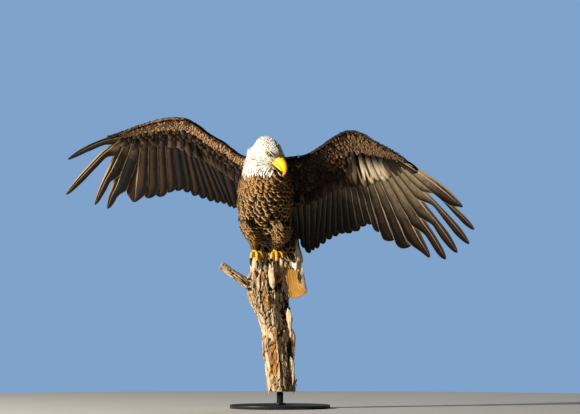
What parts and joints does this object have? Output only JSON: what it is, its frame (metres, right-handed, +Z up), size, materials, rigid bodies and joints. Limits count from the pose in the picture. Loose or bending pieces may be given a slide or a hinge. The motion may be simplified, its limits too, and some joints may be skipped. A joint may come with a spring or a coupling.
{
  "type": "eagle figure",
  "caption": "Life-size bald eagle perched on a broken snag with its wings half spread and drooping, held on a round display stand.",
  "frame": {"origin": "centre of the display stand's flat underside, on the floor", "axes": "+Z up, the eagle looks along -Y, +X towards its own left wing"},
  "size_m": [1.6551, 0.5229, 1.157],
  "materials": {
    "body_feathers": "matte",
    "head_feathers": "matte",
    "flight_feathers": "satin",
    "tail_feathers": "matte",
    "bill_horn": "satin",
    "leg_skin": "satin",
    "claw": "gloss",
    "eye": "gloss",
    "dead_wood": "matte",
    "stand_steel": "satin"
  },
  "bodies": {
    "root": {"bill_lower": "bill_horn", "bill_upper": "bill_horn", "eye_left": "eye", "eye_right": "eye", "foot_left": "leg_skin", "foot_right": "leg_skin", "forearm_left": "body_feathers", "forearm_right": "body_feathers", "hand_left": "body_feathers", "hand_right": "body_feathers", "head": "head_feathers", "neck": "head_feathers", "perch_snag": "dead_wood", "primaries_left": "flight_feathers", "primaries_right": "flight_feathers", "rump": "body_feathers", "secondaries_left": "flight_feathers", "secondaries_right": "flight_feathers", "stand_base": "stand_steel", "stand_rod": "stand_steel", "tail": "tail_feathers", "talon_hind_left": "claw", "talon_hind_right": "claw", "talon_inner_left": "claw", "talon_inner_right": "claw", "talon_middle_left": "claw", "talon_middle_right": "claw", "talon_outer_left": "claw", "talon_outer_right": "claw", "tertials_left": "flight_feathers", "tertials_right": "flight_feathers", "thigh_left": "body_feathers", "thigh_right": "body_feathers", "trunk": "body_feathers", "upper_arm_left": "body_feathers", "upper_arm_right": "body_feathers"}
  },
  "joints": []
}
